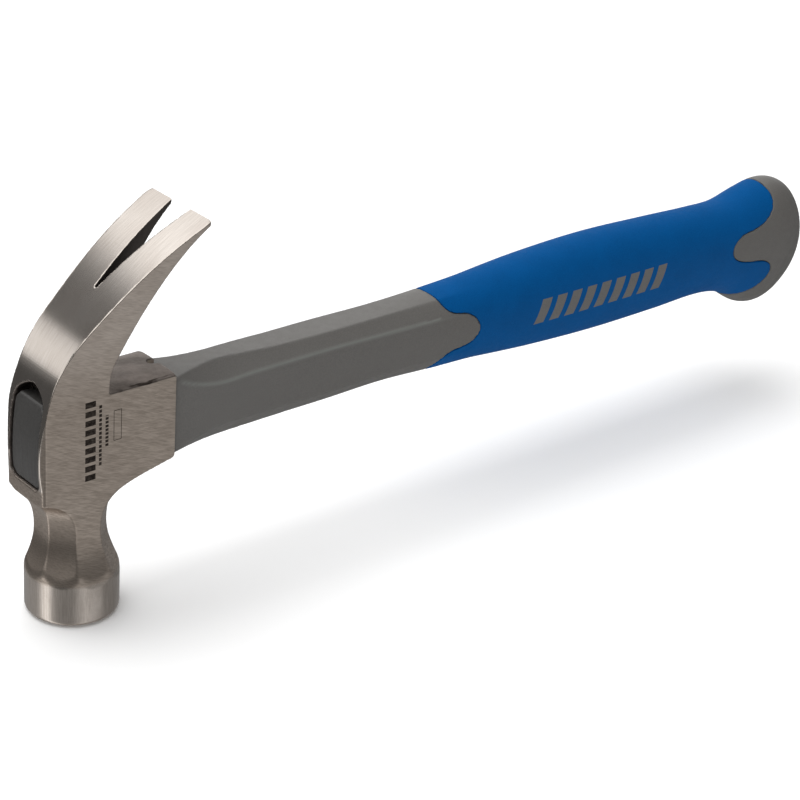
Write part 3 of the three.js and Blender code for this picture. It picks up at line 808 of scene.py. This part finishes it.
def glass_rod():
    g = Graph("pultruded_rod")
    fibres = g.noise(3000, (40, 1, 1), detail=3)
    tone = g.tint(g.span(fibres, 0.3, 0.7, 0, 1), (0.55, 0.50, 0.30), (0.78, 0.74, 0.52))
    g.feed(g.shader.inputs["Base Color"], tone)
    g.feed(g.shader.inputs["Roughness"], g.span(fibres, 0.3, 0.7, 0.35, 0.5))
    g.feed(g.shader.inputs["Normal"], g.bump(fibres, 0.00005, 0.6))
    return g.material


def wear(made, material):
    made.data.materials.clear()
    made.data.materials.append(material)


# ---- the pieces -----------------------------------------------------------------------------

head = piece("forged_head", head_field, (-16.2, -15.2, 0), (36.6, 15.2, 120.4), HEAD_STEP, head_marks)
wear(head, steel())
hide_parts("steel_head")

plug = piece("eye_plug_moulding", plug_field, (-15.6, -8, 44.6), (-5.4, 8, 73), PLUG_STEP)
wear(plug, plug_plastic())
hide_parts("eye_plug")

shaft = piece("shaft_and_butt", shaft_field, (TENON_START_X, -14.3, 30.4), (BUTT_X, 14.3, 78.2),
              SHAFT_STEP, shaft_highlight_marks)
wear(shaft, moulded_grey())
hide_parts("shaft_moulding")

grip = piece("grip_overmould", grip_field, (118, -14.3, 30.4), (290, 14.3, 78.2), GRIP_STEP)
wear(grip, soft_blue())
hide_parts("soft_grip")

for made in (head, plug, shaft, grip):
    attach(made, "root")

for node, material in (("bonding_resin", cured_resin()), ("fibreglass_core", glass_rod())):
    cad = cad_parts[node]
    cad.data.materials.clear()
    cad.data.materials.append(material)


# ---- stage, lights and camera ---------------------------------------------------------------

def floor():
    side, count = 6.0, 12
    cut = np.linspace(-side, side, count + 1)
    points = [(x, y, -0.0004) for x in cut for y in cut]
    row = count + 1
    faces = [(i * row + j, (i + 1) * row + j, (i + 1) * row + j + 1, i * row + j + 1)
             for i in range(count) for j in range(count)]
    mesh = bpy.data.meshes.new("stage_floor")
    mesh.from_pydata(points, [], faces)
    made = bpy.data.objects.new("stage_floor", mesh)
    bpy.context.scene.collection.objects.link(made)
    g = Graph("pale_floor")
    tone = g.tint(g.noise(3, detail=2), (0.86, 0.86, 0.86), (0.88, 0.88, 0.88))
    g.feed(g.shader.inputs["Base Color"], tone)
    g.shader.inputs["Roughness"].default_value = 0.9
    g.shader.inputs["Specular IOR Level"].default_value = 0.0
    made.data.materials.append(g.material)
    made.visible_glossy = False


# The world's brightness. Panels go by bearing from +X towards +Y, bands by height, both in degrees.
FLOOR_PANELS = [(-180, 1.1), (-172, 0.55), (-164, 0.36), (-150, 0.28), (-134, 0.26), (-118, 0.30),
                (-102, 0.50), (-87, 0.60), (-70, 0.48), (-52, 0.42), (-38, 0.26), (0, 0.22), (100, 0.34),
                (146, 0.38), (158, 0.75), (168, 1.3), (180, 1.1)]
WALL_PANELS = [(-180, 0.09), (-112, 0.11), (-90, 0.36), (-40, 0.34), (0, 0.20), (60, 0.09), (180, 0.09)]
BACK_WALL_SHARE = [(-180, 0), (15, 0), (35, 1), (78, 1), (96, 0), (180, 0)]
BACK_WALL_LEVEL = 0.9
HIGH_BANDS = [(0, 0.09), (3, 0.10), (7, 0.24), (9.5, 0.90), (13, 1.08), (20, 1.08), (25, 0.92), (27.5, 0.72),
              (28.8, 0.22), (30, 0.155), (33.4, 0.19), (34.6, 0.28), (35.6, 0.48), (36.6, 0.75),
              (37.4, 1.12), (39, 1.3), (42, 1.45), (90, 1.45)]
NEAR_SIDE = 0.13
OVERHEAD = 1.2
BACKDROP = 0.92

# Where one part of the world fades into the next, as the height of a direction from -1 to 1.
FLOOR_FADE = (-0.47, -0.40)
BACK_WALL_FADE = (-0.40, -0.30)
HORIZON_FADE = (0.0, 0.03)
OVERHEAD_FADE = (0.75, 0.95)
# The bands are on the side of the studio that lies this way, over this width of fade.
FAR_SIDE = (-0.34, 0.94)
FAR_FADE = (-0.25, 0.1)


def studio_sky():
    """The studio round the hammer: bands of light above it, and soft panels at its level and below."""
    world = bpy.data.worlds.new("studio")
    bpy.context.scene.world = world
    world.use_nodes = True
    tree = world.node_tree
    background = next(n for n in tree.nodes if n.type == "BACKGROUND")
    parts = tree.nodes.new("ShaderNodeSeparateXYZ")
    tree.links.new(tree.nodes.new("ShaderNodeTexCoord").outputs["Generated"], parts.inputs[0])
    x, y, z = parts.outputs

    def work(operation, *values):
        node = tree.nodes.new("ShaderNodeMath")
        node.operation = operation
        for socket, value in zip(node.inputs, values):
            if isinstance(value, bpy.types.NodeSocket):
                tree.links.new(value, socket)
            else:
                socket.default_value = value
        return node.outputs[0]

    def step(value, low, high):
        node = tree.nodes.new("ShaderNodeMapRange")
        node.interpolation_type = "SMOOTHSTEP"
        tree.links.new(value, node.inputs[0])
        node.inputs[1].default_value = low
        node.inputs[2].default_value = high
        return node.outputs[0]

    def levels(value, stops):
        """A level for each value from 0 to 1, straight between the stops."""
        ramp = tree.nodes.new("ShaderNodeValToRGB")
        tree.links.new(value, ramp.inputs[0])
        elements = ramp.color_ramp.elements
        elements.remove(elements[-1])
        elements[0].position = stops[0][0]
        for place, _ in stops[1:]:
            elements.new(place)
        for element, (_, level) in zip(elements, stops):
            element.color = (level, level, level, 1)
        return ramp.outputs[0]

    def blend(share, a, b):
        return work("ADD", work("MULTIPLY", work("SUBTRACT", 1.0, share), a), work("MULTIPLY", share, b))

    def by_bearing(panels):
        return levels(bearing, [(turn / 360 + 0.5, level) for turn, level in panels])

    bearing = work("ADD", work("DIVIDE", work("ARCTAN2", y, x), 2 * math.pi), 0.5)
    lift = work("DIVIDE", work("ARCSINE", z), math.pi / 2)
    low = by_bearing(FLOOR_PANELS)
    middle = by_bearing(WALL_PANELS)
    bands = levels(lift, [(height / 90, level) for height, level in HIGH_BANDS])
    far = work("ADD", work("MULTIPLY", y, FAR_SIDE[1]), work("MULTIPLY", x, FAR_SIDE[0]))
    above = blend(step(far, *FAR_FADE), blend(step(z, *OVERHEAD_FADE), NEAR_SIDE, OVERHEAD), bands)
    around = blend(step(z, *FLOOR_FADE), low, middle)
    level = blend(step(z, *HORIZON_FADE), around, above)
    wall = work("MULTIPLY", step(z, *BACK_WALL_FADE), by_bearing(BACK_WALL_SHARE))
    level = blend(wall, level, BACK_WALL_LEVEL)
    seen = tree.nodes.new("ShaderNodeLightPath").outputs["Is Camera Ray"]
    tree.links.new(blend(seen, level, BACKDROP), background.inputs[0])
    background.inputs[1].default_value = 1.0


def softbox(name, place, aim, size, power):
    light = bpy.data.lights.new(name, "AREA")
    light.shape = "RECTANGLE"
    light.size, light.size_y = size
    light.energy = power
    made = bpy.data.objects.new(name, light)
    made.location = place
    made.rotation_euler = (Vector(aim) - Vector(place)).to_track_quat("-Z", "Y").to_euler()
    made.visible_camera = False
    made.visible_glossy = False
    bpy.context.scene.collection.objects.link(made)


CAMERA_TURN = -41.99
CAMERA_LIFT = 26.61
CAMERA_ROLL = 4.33
CAMERA_AIM = (0.12475, 0, 0.03335)
CAMERA_DISTANCE = 0.71358
CAMERA_LENS = 99


def camera():
    turn, lift, roll = (math.radians(angle) for angle in (CAMERA_TURN, CAMERA_LIFT, CAMERA_ROLL))
    back = Vector((math.sin(turn) * math.cos(lift), -math.cos(turn) * math.cos(lift), math.sin(lift)))
    level = Vector((math.cos(turn), math.sin(turn), 0))
    upright = back.cross(level)
    right = level * math.cos(roll) + upright * math.sin(roll)
    up = -level * math.sin(roll) + upright * math.cos(roll)
    place = Vector(CAMERA_AIM) + back * CAMERA_DISTANCE
    data = bpy.data.cameras.new("camera")
    data.sensor_width = 36
    data.lens = CAMERA_LENS
    data.clip_end = 50
    made = bpy.data.objects.new("camera", data)
    basis = Matrix((right, up, back)).transposed().to_4x4()
    made.matrix_world = Matrix.Translation(place) @ basis
    bpy.context.scene.collection.objects.link(made)
    bpy.context.scene.camera = made


floor()
studio_sky()
softbox("overhead", (0.10, 0.35, 1.3), (0.12, 0, 0.05), (1.4, 1.0), 14)
softbox("front_fill", (-0.9, -1.1, 0.5), (0.1, 0, 0.06), (0.9, 0.9), 8)
camera()
bpy.context.scene.view_settings.view_transform = "Standard"
